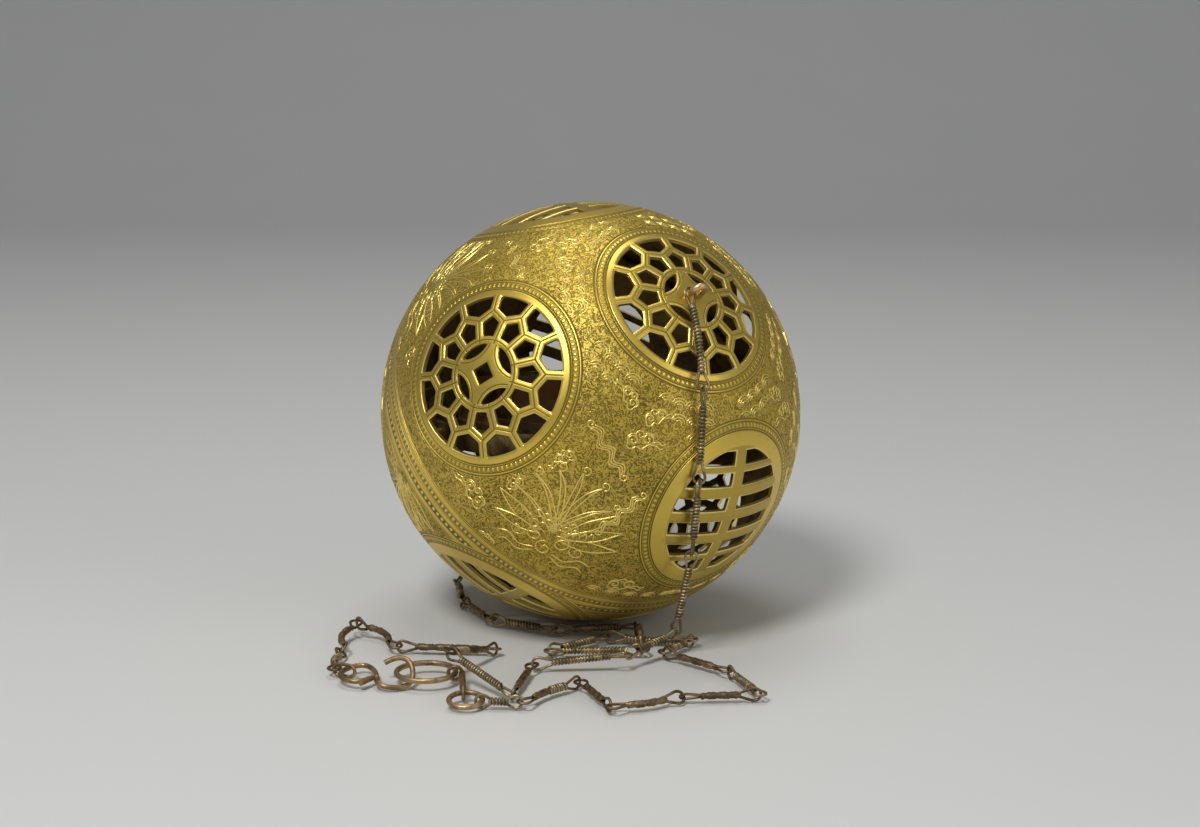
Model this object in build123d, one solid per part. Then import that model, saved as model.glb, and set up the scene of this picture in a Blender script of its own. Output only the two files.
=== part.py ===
from build123d import *
import os
from math import acos, asin, atan2, cos, hypot, radians, sin, sqrt

# Pierced brass ball censer on a wire chain: two half shells that lap at the seam, a bowl hung
# in two gimbal rings, and a chain from each pole. Millimetres, +Z up. The origin is the point
# where the ball touches the table.

# --- ball ---
BALL_R = 65.0
SHELL_T = 1.2
SHELL_IN_R = BALL_R - SHELL_T
POLE_TILT = 50.4  # lean of the ball's polar axis from the vertical
POLE_HEADING = -53.8  # compass angle of the upper pole, from +X towards +Y
SEAM_DROP = 6.8  # the seam lies this far below the ball's equator
SEAM_GAP = 0.1

# --- pierced windows, drawn flat and cut through along each window's own axis ---
SIDE_POLAR = 59.8  # angle from the pole of the nearer shell to a side window
COIN_AZIMUTHS = (89.5, 269.5)
GRILLE_AZIMUTHS = (5.7, 185.7)
LOWER_TURN = 36.0  # the lower shell's windows stand this much round from the upper shell's
WINDOW_R = 23.5
LATTICE_CELLS = 12
LATTICE_BAR = 2.5
RING_R = 10.0
RING_BAND = 2.2
ZIGZAG_IN_R = 16.2
ZIGZAG_OUT_R = 19.0
LENS_IN_R = 5.9
LENS_HALF_ANGLE = 32.0
SQUARE_HALF_DIAGONAL = 3.6
SIDE_LENS_TURN = 0.0
POLE_LATTICE_TURN = 21.0
POLE_LENS_TURN = 41.0
GRILLE_R = 20.8
GRILLE_PITCH = 7.7
GRILLE_SLOT = 4.1
GRILLE_SPINE = 4.4
GRILLE_TURN = -8.0
GRILLE_END_ROW = 17.9
CUT_FROM, CUT_TO = 50.0, 70.0

# --- lap ring soldered inside the lower shell ---
LAP_OUT_R = 63.0
LAP_T = 1.2
LAP_TOP = 4.0
LAP_BOTTOM = -13.0
SOLDER_GAP = 0.02

# --- hanging eyes ---
EYE_WIRE = 1.9
EYE_HALF_SPAN = 2.2
EYE_LEG_TOP = 68.3
EYE_GRIP = 66.9  # level at which the first link holds the eye's leg
EYE_HOLE_R = EYE_WIRE / 2 + 0.03
ROVE_R = 4.6
ROVE_T = 0.8
ROVE_TOP = 63.55
EYE_HEAD_R = 1.5
EYE_HEAD_T = 0.7

# --- gimbal ---
RING_H = 7.0
RING_T = 1.2
OUTER_RING_R = 56.5
INNER_RING_R = 50.0
BOWL_R = 41.0
BOWL_T = 1.2
BOWL_DEPTH = 28.0
PIN_R = 1.0
PIN_CLEARANCE = 0.05
COLLAR_R = 1.7
COLLAR_SEAT = 0.03  # keeps the flat collar clear of the curved wall
HEAD_R = 1.7
HEAD_T = 0.7
END_PLAY = 0.2

# --- chain ---
WIRE = 0.85
WRAP = 2.4  # wrapped middle of a link
LOOP_R = 1.8
LOOP_LENGTH = 5.5
SHORT_LOOP = 3.9
LOOP_SHARE = 0.3
GAP = 1.05  # from a loop's tip to the next loop's tip
EYE_GAP = 1.75
STRAND_OFFSET = 0.5
STRAND_SINK = 0.6
JOINT_ROLL = 40.0  # loops lean this much, to each side in turn, where the chain runs straight
BEND_LIMIT = 25.0  # above this turn the two loops cross squarely instead
FLOOR_GAP = 0.05

# Joints of the two chains, from the ball to their free ends. Each chain lies on the table.
UPPER_CHAIN = [
    (32.1, -58.2, 82.1), (30.8, -59.3, 55.4), (29.3, -53.5, 33.0), (25.0, -44.5, 6.6),
    (10.0, -60.5, 5.2), (-16.8, -60.5, 2.0), (-21.7, -87.5, 2.0), (-40.5, -69.0, 9.0),
    (-27.7, -45.5, 2.0), (-57.5, -43.0, 2.0), (-71.5, -24.0, 4.2), (-73.5, -47.5, 2.0),
    (-73.5, -65.6, 2.0),
]
LOWER_CHAIN = [
    (-29.7, -93.2, 2.2), (-18.6, -94.0, 2.0), (-3.0, -76.0, 2.0), (5.6, -98.0, 2.0),
    (25.7, -88.6, 2.0), (47.0, -87.5, 2.0), (39.3, -66.5, 2.0), (21.4, -49.0, 2.0),
    (31.0, -36.5, 2.0), (4.5, -33.2, 2.0), (-12.5, -47.5, 2.0), (15.5, -47.0, 2.0),
    (13.5, -26.5, 3.4), (-11.5, -26.0, 2.0), (-31.0, -15.0, 2.0), (-41.0, 6.0, 2.0),
    (-44.0, 29.0, 2.0),
]
# Links that are bent: how far the middle stands off the straight line.
UPPER_BOWS = {0: (0.5, -0.9, 0.6), 10: (1.6, 2.6, 0), 11: (-2.6, 0.6, 0), 12: (-1.0, 0, 0)}
LOWER_BOWS = {1: (-0.8, 0.8, 0), 3: (0.6, -1.2, 0), 8: (0, 0, -0.9), 11: (0, 0, 3.8)}

# --- rings and hook at the chains' free ends ---
LARGE_RING_R = 8.4
LARGE_RING_WIRE = 1.6
LARGE_RING_AT = (-46.7, -70.0, 3.1)
SMALL_RING_R = 4.6
SMALL_RING_WIRE = 1.5
SMALL_RING_AT = (-34.2, -91.6, 2.1)
SMALL_RING_TILT = 8.0
SMALL_RING_SIDE = (0.33, 0.94, 0)
TIE_WRAP = 1.9
TIE_WIRE = 1.0
TIE_EYE_R = 2.0
TIE_SIDE = -8.0  # where on the large ring the tie starts
TIE_TO = (-35.0, -88.9, 2.7)
HOOK_WIRE = 1.5
HOOK_PATH = [
    (-64.6, -77.0, 2.0), (-62.0, -72.8, 2.2), (-65.5, -75.6, 2.2), (-69.6, -73.6, 2.3),
    (-69.8, -64.6, 2.3), (-66.0, -61.4, 2.3), (-61.0, -69.0, 2.0), (-58.2, -77.6, 1.5),
    (-51.2, -75.6, 1.35), (-50.6, -71.2, 4.9), (-58.6, -67.6, 5.0),
]
HOOK_RING_R = 1.7
HOOK_RING_WIRE = 1.0
HOOK_RING_AT = (-70.4, -66.0, 2.3)
HOOK_RING_STRAIGHT = 3.6
HOOK_RING_TURN = -25.0

CENTRE = Vector(0, 0, BALL_R)
TILT, HEADING = radians(POLE_TILT), radians(POLE_HEADING)
POLE = Vector(sin(TILT) * cos(HEADING), sin(TILT) * sin(HEADING), cos(TILT))
LEVEL_AXIS = Vector(-sin(HEADING), cos(HEADING), 0)  # level line in the seam's plane
UPHILL = POLE.cross(LEVEL_AXIS) * -1
BALL = Plane(origin=CENTRE, x_dir=UPHILL, z_dir=POLE)
GIMBAL = Plane(origin=CENTRE, x_dir=LEVEL_AXIS, z_dir=(0, 0, 1))


def save(name, shape, label=None):
    shape.label = label or name
    export_step(shape, f"parts/{name}.step")


# --- windows ---
def polar_point(radius, angle):
    return (radius * cos(radians(angle)), radius * sin(radians(angle)))


def bar(start, end):
    return trace(Line(start, end), LATTICE_BAR)


def lattice(turn, lens_turn, square):
    """Holes of a window of cells round a ring with lens-shaped holes in it."""
    step = 360 / LATTICE_CELLS
    bars = []
    for k in range(LATTICE_CELLS):
        a = turn + k * step
        bars.append(bar(polar_point(ZIGZAG_OUT_R, a), polar_point(WINDOW_R + 1, a)))
        bars.append(bar(polar_point(RING_R, a + step / 2), polar_point(ZIGZAG_IN_R, a + step / 2)))
        for side in (-step / 2, step / 2):
            bars.append(bar(polar_point(ZIGZAG_OUT_R, a), polar_point(ZIGZAG_IN_R, a + side)))
    holes = Circle(WINDOW_R) - Circle(RING_R + RING_BAND / 2) - bars
    for k in range(4):
        holes += Rot(0, 0, lens_turn + 90 * k) * lens()
    if square:
        half_side = SQUARE_HALF_DIAGONAL * sqrt(2)
        holes += Rot(0, 0, lens_turn) * Rectangle(half_side, half_side)
    return holes


def lens():
    r = RING_R - RING_BAND / 2
    low, high = polar_point(r, -LENS_HALF_ANGLE), polar_point(r, LENS_HALF_ANGLE)
    edges = [ThreePointArc(low, (r, 0), high), ThreePointArc(high, (LENS_IN_R, 0), low)]
    return make_face(edges)


def grille():
    """Slots in rows on each side of a spine, inside one circle."""
    rows = [-GRILLE_END_ROW, GRILLE_END_ROW]
    rows += [GRILLE_PITCH * k for k in (-1.5, -0.5, 0.5, 1.5)]
    slots = [Pos(row, 0) * Rectangle(GRILLE_SLOT, 3 * GRILLE_R) & Circle(GRILLE_R) for row in rows]
    spine = Rectangle(3 * GRILLE_R, GRILLE_SPINE)
    return [Rot(0, 0, GRILLE_TURN) * (slot - spine) for slot in slots]


def window_plane(polar, azimuth):
    """Plane through the ball's centre whose normal is a window's axis and whose X is poleward."""
    p, a = radians(polar), radians(azimuth)
    axis = Vector(sin(p) * cos(a), sin(p) * sin(a), cos(p))
    poleward = Vector(-cos(p) * cos(a), -cos(p) * sin(a), sin(p))
    return Plane(origin=(0, 0, 0), x_dir=poleward, z_dir=axis)


def prisms(faces):
    """Cutting prisms, along +Z, that pass through a shell from inside to outside."""
    depth = CUT_TO - CUT_FROM
    return [extrude(Pos(0, 0, CUT_FROM) * face, amount=depth) for face in faces]


def window_cuts(azimuth_shift):
    coin = prisms(lattice(0, SIDE_LENS_TURN, True).faces())
    slots = prisms([face for slot in grille() for face in slot.faces()])
    cuts = list(prisms(lattice(POLE_LATTICE_TURN, POLE_LENS_TURN, False).faces()))
    for azimuths, tools in ((COIN_AZIMUTHS, coin), (GRILLE_AZIMUTHS, slots)):
        for azimuth in azimuths:
            place = window_plane(SIDE_POLAR, azimuth + azimuth_shift).location
            cuts += [place * tool for tool in tools]
    return cuts


# --- shells ---
def cap(height_from, holes):
    """Part of the hollow sphere above a level, pierced, with the two holes for its eye."""
    body = Sphere(BALL_R) - Sphere(SHELL_IN_R)
    keep = Pos(0, 0, height_from + BALL_R) * Box(3 * BALL_R, 3 * BALL_R, 2 * BALL_R)
    body = body & keep
    for side in (-1, 1):
        holes = holes + [Pos(0, side * EYE_HALF_SPAN, BALL_R) * Cylinder(EYE_HOLE_R, 12)]
    return body - holes


def upper_shell():
    return cap(-SEAM_DROP, window_cuts(0))


def lower_shell():
    """Built with its own pole up, then turned over."""
    return Rot(180, 0, 0) * cap(SEAM_DROP + SEAM_GAP, window_cuts(LOWER_TURN))


def lap_ring():
    height = LAP_TOP - LAP_BOTTOM
    middle = (LAP_TOP + LAP_BOTTOM) / 2
    tube = Cylinder(LAP_OUT_R, height) - Cylinder(LAP_OUT_R - LAP_T, height + 1)
    ring = (Pos(0, 0, middle) * tube) & Sphere(SHELL_IN_R - SOLDER_GAP)
    pin_line = Rot(90, 0, 0) * Cylinder(PIN_R, 4 * BALL_R)
    return ring - pin_line


def eye():
    top, half = EYE_LEG_TOP, EYE_HALF_SPAN
    foot = ROVE_TOP - ROVE_T - EYE_HEAD_T
    path = Wire([
        Line((0, -half, foot), (0, -half, top)),
        ThreePointArc((0, -half, top), (0, 0, top + half), (0, half, top)),
        Line((0, half, top), (0, half, foot)),
    ])
    staple = sweep(Plane(origin=(0, -half, foot)) * Circle(EYE_WIRE / 2), path=path)
    for side in (-half, half):
        staple += Pos(0, side, foot + EYE_HEAD_T / 2) * Cylinder(EYE_HEAD_R, EYE_HEAD_T)
    return staple


def eye_rove():
    disc = Pos(0, 0, ROVE_TOP - ROVE_T / 2) * Cylinder(ROVE_R, ROVE_T)
    for side in (-1, 1):
        disc -= Pos(0, side * EYE_HALF_SPAN, ROVE_TOP) * Cylinder(EYE_HOLE_R, 4)
    return disc


# --- gimbal, in its level frame: X along the outer pins, Y along the inner pins ---
def along_x(radius, start, end):
    return Pos((start + end) / 2, 0, 0) * Rot(0, 90, 0) * Cylinder(radius, end - start)


def pins(outer_in_r, outer_out_r, inner_in_r, inner_out_r):
    """A riveted pin at each end of the X axis, fixed in the outer wall, turning in the inner."""
    pin = along_x(PIN_R, inner_in_r - END_PLAY, outer_out_r)
    pin += along_x(COLLAR_R, inner_out_r + END_PLAY, outer_in_r - COLLAR_SEAT)
    pin += along_x(HEAD_R, inner_in_r - END_PLAY - HEAD_T, inner_in_r - END_PLAY)
    return Compound([pin.solids()[0], (Rot(0, 0, 180) * pin).solids()[0]])


def band(radius, hole_x, hole_y):
    tube = Cylinder(radius, RING_H) - Cylinder(radius - RING_T, RING_H + 1)
    tube -= along_x(hole_x, -2 * radius, 2 * radius)
    return tube - Rot(0, 0, 90) * along_x(hole_y, -2 * radius, 2 * radius)


def bowl():
    half = RING_H / 2
    outer = bowl_profile(BOWL_R, BOWL_DEPTH)
    inner = bowl_profile(BOWL_R - BOWL_T, BOWL_DEPTH - BOWL_T)
    cavity = inner + Pos(0, 0, half) * Cylinder(BOWL_R - BOWL_T, half)
    return outer - cavity - along_x(PIN_R + PIN_CLEARANCE, -2 * BOWL_R, 2 * BOWL_R)


def bowl_profile(radius, depth):
    """Solid of revolution: a straight rim band over one spherical dish."""
    half = RING_H / 2
    rise = (depth**2 - radius**2 - half**2) / (2 * (half - depth))
    dish_r = depth + rise
    swing = asin(radius / dish_r) / 2
    belly = (dish_r * sin(swing), 0, rise - dish_r * cos(swing))
    edges = [
        Line((0, 0, -depth), (0, 0, half)),
        Line((0, 0, half), (radius, 0, half)),
        Line((radius, 0, half), (radius, 0, -half)),
        ThreePointArc((radius, 0, -half), belly, (0, 0, -depth)),
    ]
    return revolve(make_face(edges), Axis.Z)


# --- chain ---
def tube(points, bend_r, wire):
    path = FilletPolyline(*points, radius=bend_r) if len(points) > 2 else Line(*points)
    start = Vector(*points[0])
    return sweep(Plane(origin=start, z_dir=Vector(*points[1]) - start) * Circle(wire / 2), path=path)


def loop(centre, outward, side, reach, wire, radius):
    """Teardrop of wire in the plane of outward and side, open towards the wrapped middle."""
    def at(back, across):
        return centre - outward * back + side * across
    mouth = hypot(reach, STRAND_OFFSET)
    turn = atan2(STRAND_OFFSET, reach) + acos(radius / mouth)
    high, low = (at(radius * cos(turn), s * radius * sin(turn)) for s in (1, -1))
    path = Wire([
        Line(at(reach, STRAND_OFFSET), high),
        ThreePointArc(high, at(-radius, 0), low),
        Line(low, at(reach, -STRAND_OFFSET)),
    ])
    begin = at(reach, STRAND_OFFSET)
    return sweep(Plane(origin=begin, z_dir=high - begin) * Circle(wire / 2), path=path)


def link(start, end, start_normal, end_normal, gap=GAP, bow=None, wrap=WRAP, wire=WIRE):
    """Wrapped link. Its first loop lies across start_normal and its last stands along end_normal."""
    along = (end - start).normalized()
    length = max(SHORT_LOOP, min(LOOP_LENGTH, LOOP_SHARE * (end - start).length))
    first, last = start + along * (length - gap), end - along * length
    flat = start_normal.cross(along).normalized()
    upright = (end_normal - along * end_normal.dot(along)).normalized()
    reach = length - LOOP_R + STRAND_SINK
    body = wrapped_middle(first, last, bow, wrap)
    body += loop(start + along * (LOOP_R - gap), along * -1, flat, reach, wire, LOOP_R)
    return body + loop(end - along * LOOP_R, along, upright, reach, wire, LOOP_R)


def wrapped_middle(first, last, bow, wrap):
    if not bow:
        return tube([first, last], None, wrap)
    middle = (first + last) / 2 + Vector(*bow)
    run = (middle - first).length
    bend = radians((middle - first).get_angle(last - middle))
    return tube([first, middle, last], 0.45 * run / sin(bend / 2) * cos(bend / 2), wrap)


def joint_normal(before, point, after, lean):
    """Direction that the loops of one joint lie across and stand along."""
    arriving, leaving = (point - before).normalized(), (after - point).normalized()
    if arriving.get_angle(leaving) > BEND_LIMIT:
        across = arriving.cross(leaving).normalized()
        return across if across.Z > 0 else across * -1
    along = (arriving + leaving).normalized()
    from_ball = point - CENTRE
    on_ball = from_ball.length < BALL_R + 5 and point.Z > BALL_R / 4
    up = from_ball.normalized() if on_ball else Vector(0, 0, 1)
    up = (up - along * up.dot(along)).normalized()
    roll = radians(lean)
    return up * cos(roll) + up.cross(along) * sin(roll)


def clear_of_table(point, normal):
    """The joint, raised if need be so that neither loop reaches the table."""
    tall = max(abs(normal.Z), sqrt(1 - min(1, normal.Z**2)))
    lowest = LOOP_R * tall + WIRE / 2 + FLOOR_GAP
    return Vector(point.X, point.Y, max(point.Z, lowest))


def chain(name, points, bows, normals, first_gap):
    """Links between the points. The normals give the first and last joints' directions."""
    points = [Vector(*point) for point in points]
    start_normal, end_normal = normals
    middles = range(1, len(points) - 1)
    inner = [joint_normal(*points[k - 1:k + 2], JOINT_ROLL * (-1) ** k) for k in middles]
    normals = [start_normal, *inner, end_normal]
    points = [clear_of_table(point, normal) for point, normal in zip(points, normals)]
    for k in range(len(points) - 1):
        gap = first_gap if k == 0 else GAP
        piece = link(points[k], points[k + 1], normals[k], normals[k + 1], gap, bows.get(k))
        save(f"{name}_{k + 1:02d}", piece)


def eye_leg(pole_sign, side):
    """Middle of an eye's leg just above the shell."""
    return CENTRE + POLE * (pole_sign * EYE_GRIP) + LEVEL_AXIS * (side * EYE_HALF_SPAN)


def chains():
    upper = [eye_leg(1, -1), *UPPER_CHAIN]
    sideways = Vector(1, 0, 0)
    chain("upper_link", upper, UPPER_BOWS, (POLE, sideways), EYE_GAP)
    leg = eye_leg(-1, 1)
    arriving = (leg - Vector(*LOWER_CHAIN[-1])).normalized()
    lower = [*LOWER_CHAIN, leg + arriving * EYE_GAP]
    chain("lower_link", lower, LOWER_BOWS, (Vector(*SMALL_RING_SIDE), LEVEL_AXIS), EYE_GAP)


# --- rings and hook ---
def wire_ring(at, radius, wire, tilt=0):
    return Pos(*at) * Rot(tilt, 0, 0) * Torus(radius, wire / 2)


def hook_ring():
    """Long ring standing on edge that joins the last upper link to the hook."""
    half, r = HOOK_RING_STRAIGHT / 2, HOOK_RING_R
    path = Wire([
        Line((-half, 0, r), (half, 0, r)),
        ThreePointArc((half, 0, r), (half + r, 0, 0), (half, 0, -r)),
        Line((half, 0, -r), (-half, 0, -r)),
        ThreePointArc((-half, 0, -r), (-half - r, 0, 0), (-half, 0, r)),
    ])
    section = Plane(origin=(-half, 0, r), z_dir=(1, 0, 0)) * Circle(HOOK_RING_WIRE / 2)
    return Pos(*HOOK_RING_AT) * Rot(0, 0, HOOK_RING_TURN) * sweep(section, path=path)


def s_hook():
    """Wire bent freely: a curl, the bend for the upper chain and the bend for the large ring."""
    path = Spline(*HOOK_PATH)
    return sweep(Plane(origin=path @ 0, z_dir=path % 0) * Circle(HOOK_WIRE / 2), path=path)


def ring_tie():
    """Short link: its side eye goes round the large ring and its end loop holds the small one."""
    outward = Vector(cos(radians(TIE_SIDE)), sin(radians(TIE_SIDE)), 0)
    held = Vector(*LARGE_RING_AT) + outward * LARGE_RING_R
    end = Vector(*TIE_TO)
    start = held + outward * TIE_EYE_R
    along = (end - start).normalized()
    shape = Plane(origin=held, z_dir=along) * Torus(TIE_EYE_R, TIE_WIRE / 2)
    shape += tube([start - along * 0.4, end - along * LOOP_LENGTH], None, TIE_WRAP)
    reach = LOOP_LENGTH - LOOP_R + STRAND_SINK
    return shape + loop(end - along * LOOP_R, along, Vector(0, 0, 1), reach, TIE_WIRE, LOOP_R)


def main():
    os.makedirs("parts", exist_ok=True)
    ball, gimbal = BALL.location, GIMBAL.location
    turned = gimbal * Rot(0, 0, 90)
    save("upper_shell", ball * upper_shell())
    save("lower_shell", ball * lower_shell())
    save("lap_ring", ball * lap_ring())
    save("upper_eye", ball * eye())
    save("upper_eye_rove", ball * eye_rove())
    save("lower_eye", ball * Rot(180, 0, 0) * eye())
    save("lower_eye_rove", ball * Rot(180, 0, 0) * eye_rove())

    hole = PIN_R + PIN_CLEARANCE
    save("outer_gimbal_ring", gimbal * band(OUTER_RING_R, hole, PIN_R))
    save("inner_gimbal_ring", gimbal * band(INNER_RING_R, PIN_R, hole))
    save("fire_bowl", gimbal * bowl())
    lap_in = LAP_OUT_R - LAP_T
    outer_in, inner_in = OUTER_RING_R - RING_T, INNER_RING_R - RING_T
    save("shell_pins", gimbal * pins(lap_in, LAP_OUT_R, outer_in, OUTER_RING_R))
    save("ring_pins", turned * pins(outer_in, OUTER_RING_R, inner_in, INNER_RING_R))
    save("bowl_pins", gimbal * pins(inner_in, INNER_RING_R, BOWL_R - BOWL_T, BOWL_R))

    chains()
    save("hook_ring", hook_ring())
    save("s_hook", s_hook())
    save("large_ring", wire_ring(LARGE_RING_AT, LARGE_RING_R, LARGE_RING_WIRE))
    save("ring_tie", ring_tie())
    save("small_ring", wire_ring(SMALL_RING_AT, SMALL_RING_R, SMALL_RING_WIRE, SMALL_RING_TILT))


main()
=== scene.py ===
from math import acos, asin, atan2, cos, degrees, hypot, pi, radians, sin, sqrt

import bpy
import numpy as np
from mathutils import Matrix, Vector


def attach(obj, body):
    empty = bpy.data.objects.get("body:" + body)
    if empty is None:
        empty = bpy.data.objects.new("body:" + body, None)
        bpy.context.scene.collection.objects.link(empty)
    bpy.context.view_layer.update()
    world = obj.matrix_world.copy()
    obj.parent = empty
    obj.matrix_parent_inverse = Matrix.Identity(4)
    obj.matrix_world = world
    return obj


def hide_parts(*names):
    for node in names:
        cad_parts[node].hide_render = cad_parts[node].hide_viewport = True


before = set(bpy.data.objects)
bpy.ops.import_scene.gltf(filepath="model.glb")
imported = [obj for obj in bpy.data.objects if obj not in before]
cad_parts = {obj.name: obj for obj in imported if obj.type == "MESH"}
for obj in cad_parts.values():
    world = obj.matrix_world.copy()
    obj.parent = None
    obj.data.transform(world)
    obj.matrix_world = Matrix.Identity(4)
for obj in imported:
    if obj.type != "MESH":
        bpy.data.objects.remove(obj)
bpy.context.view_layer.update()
MM = 0.001

# ---------------------------------------------------------------- sizes, millimetres, as in the CAD
R, T = 65.0, 1.2
TILT, HEADING = radians(50.4), radians(-53.8)
POLE = np.array([sin(TILT) * cos(HEADING), sin(TILT) * sin(HEADING), cos(TILT)])
LEVEL = np.array([-sin(HEADING), cos(HEADING), 0.0])
UPHILL = -np.cross(POLE, LEVEL)
CENTRE = np.array([0.0, 0.0, R])
BALL = np.stack([UPHILL, LEVEL, POLE], axis=1)  # local ball directions as columns
SEAM = -6.8
SEAM_GAP = 0.1
SIDE_POLAR = 59.8
WINDOW_R, BAR, RING_R, BAND = 23.5, 2.5, 10.0, 2.2
ZIN, ZOUT = 16.2, 19.0
LENS_R, LENS_C = 7.572, 13.472
SQUARE = 2.546
GRILLE_R, PITCH, SLOT, SPINE, END_ROW = 20.8, 7.7, 4.1, 4.4, 17.9
GRILLE_TURN = radians(-8)
COIN, GRILLE, POLAR = 0, 1, 2

# ---------------------------------------------------------------- camera
cam = bpy.data.cameras.new("camera")
cam.sensor_width, cam.lens = 36.0, 62.6
camera = bpy.data.objects.new("camera", cam)
camera.location = (0.0007, -0.638, 0.1877)
camera.rotation_euler = (radians(79.05), 0, radians(-0.2))
bpy.context.collection.objects.link(camera)
bpy.context.scene.camera = camera


# ---------------------------------------------------------------- mesh helpers
def mesh_object(name, verts, faces, material, smooth=True):
    """verts in mm in the row frame; faces an integer array or a list of arrays."""
    me = bpy.data.meshes.new(name)
    groups = faces if isinstance(faces, list) else [faces]
    me.vertices.add(len(verts))
    me.vertices.foreach_set("co", (np.asarray(verts) * MM).astype(np.float32).ravel())
    loops = np.concatenate([g.ravel() for g in groups])
    sizes = np.concatenate([np.full(len(g), g.shape[1]) for g in groups])
    starts = np.concatenate([[0], np.cumsum(sizes)[:-1]])
    me.loops.add(len(loops))
    me.loops.foreach_set("vertex_index", loops.astype(np.int32))
    me.polygons.add(len(sizes))
    me.polygons.foreach_set("loop_start", starts.astype(np.int32))
    me.polygons.foreach_set("loop_total", sizes.astype(np.int32))
    me.polygons.foreach_set("use_smooth", np.full(len(sizes), smooth))
    me.update(calc_edges=True)
    ob = bpy.data.objects.new(name, me)
    bpy.context.collection.objects.link(ob)
    me.materials.append(material)
    return ob


def tube(points, radius, sides=8):
    """(verts, faces) of a tube along points. radius is one number or one per point."""
    p = np.asarray(points, float)
    n = len(p)
    tan = np.gradient(p, axis=0)
    tan /= np.linalg.norm(tan, axis=1, keepdims=True)
    side = np.cross(tan[0], (0.31, 0.52, 0.79))
    frames = []
    for t in tan:
        side = side - t * side.dot(t)
        side /= np.linalg.norm(side)
        frames.append(side)
    a = np.array(frames)
    b = np.cross(tan, a)
    ang = np.linspace(0, 2 * pi, sides, endpoint=False)
    rad = np.broadcast_to(np.asarray(radius, float), (n,))[:, None, None]
    ring = a[:, None] * np.cos(ang)[None, :, None] + b[:, None] * np.sin(ang)[None, :, None]
    v = (p[:, None] + rad * ring).reshape(-1, 3)
    i = np.arange(n - 1)[:, None] * sides
    j = np.arange(sides)[None]
    k = (j + 1) % sides
    f = np.stack([i + j, i + k, i + sides + k, i + sides + j], axis=2).reshape(-1, 4)
    return v, f


class Soup:
    """Collects pieces of mesh into one."""

    def __init__(self):
        self.v, self.f, self.n = [], [], 0

    def add(self, v, f):
        self.v.append(v)
        self.f.append(f + self.n)
        self.n += len(v)

    def tube(self, *args, **kw):
        self.add(*tube(*args, **kw))

    def build(self, name, material, smooth=True):
        return mesh_object(name, np.concatenate(self.v), np.concatenate(self.f), material, smooth)


# ---------------------------------------------------------------- numbers in a node tree
class X:
    """A number in a material's node tree, with arithmetic."""

    def __init__(self, tree, out):
        self.t, self.o = tree, out

    def op(self, kind, *args, first=None):
        node = self.t.nodes.new("ShaderNodeMath")
        node.operation = kind
        values = (self, *args) if first is None else (first, self, *args)
        for socket, value in zip(node.inputs, values):
            if isinstance(value, X):
                self.t.links.new(value.o, socket)
            else:
                socket.default_value = value
        return X(self.t, node.outputs[0])

    def __add__(self, o): return self.op("ADD", o)
    def __radd__(self, o): return self.op("ADD", o)
    def __sub__(self, o): return self.op("SUBTRACT", o)
    def __rsub__(self, o): return self.op("SUBTRACT", first=o)
    def __mul__(self, o): return self.op("MULTIPLY", o)
    def __rmul__(self, o): return self.op("MULTIPLY", o)
    def __truediv__(self, o): return self.op("DIVIDE", o)
    def __abs__(self): return self.op("ABSOLUTE")
    def min(self, o): return self.op("MINIMUM", o)
    def max(self, o): return self.op("MAXIMUM", o)
    def sqrt(self): return self.op("SQRT")
    def sin(self): return self.op("SINE")
    def cos(self): return self.op("COSINE")
    def atan2(self, o): return self.op("ARCTAN2", o)
    def acos(self): return self.op("ARCCOSINE")
    def pingpong(self, o): return self.op("PINGPONG", o)

    def clamp(self, low=0.0, high=1.0):
        return self.max(low).min(high)

    def ramp(self, low, high):
        """0 at low to 1 at high, smoothly."""
        node = self.t.nodes.new("ShaderNodeMapRange")
        node.interpolation_type = "SMOOTHSTEP"
        self.t.links.new(self.o, node.inputs[0])
        flip = high < low
        node.inputs[1].default_value, node.inputs[2].default_value = min(low, high), max(low, high)
        node.inputs[3].default_value, node.inputs[4].default_value = (1, 0) if flip else (0, 1)
        return X(self.t, node.outputs[0])

    def line(self, at, half):
        """1 on a line where this number is at, falling to 0 half away."""
        return abs(self - at).ramp(half, half * 0.25)


def new_material(name):
    m = bpy.data.materials.new(name)
    m.use_nodes = True
    t = m.node_tree
    t.nodes.clear()
    out = t.nodes.new("ShaderNodeOutputMaterial")
    bsdf = t.nodes.new("ShaderNodeBsdfPrincipled")
    t.links.new(bsdf.outputs[0], out.inputs[0])
    return m, t, bsdf


def texture(t, kind, vector, scale, detail=2.0, rough=0.5, distortion=0.0, feature=None, out=0):
    n = t.nodes.new("ShaderNodeTex" + kind)
    n.inputs["Scale"].default_value = scale
    if kind in ("Noise", "Wave"):
        n.inputs["Detail"].default_value = detail
        n.inputs["Distortion"].default_value = distortion
    if kind == "Noise":
        n.inputs["Roughness"].default_value = rough
    if feature:
        n.feature = feature
    t.links.new(vector, n.inputs["Vector"])
    return X(t, n.outputs[out])


def mix(t, factor, a, b, blend="MIX"):
    n = t.nodes.new("ShaderNodeMix")
    n.data_type, n.blend_type = "RGBA", blend
    for socket, value in ((n.inputs[0], factor), (n.inputs[6], a), (n.inputs[7], b)):
        if isinstance(value, X):
            t.links.new(value.o, socket)
        elif isinstance(value, bpy.types.NodeSocket):
            t.links.new(value, socket)
        else:
            socket.default_value = value if isinstance(value, (int, float)) else (*value, 1.0)
    return n.outputs[2]


def bump(t, bsdf, height, strength=1.0, distance=MM):
    n = t.nodes.new("ShaderNodeBump")
    n.inputs["Strength"].default_value = strength
    n.inputs["Distance"].default_value = distance
    t.links.new(height.o, n.inputs["Height"])
    t.links.new(n.outputs[0], bsdf.inputs["Normal"])
    return n


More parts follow.
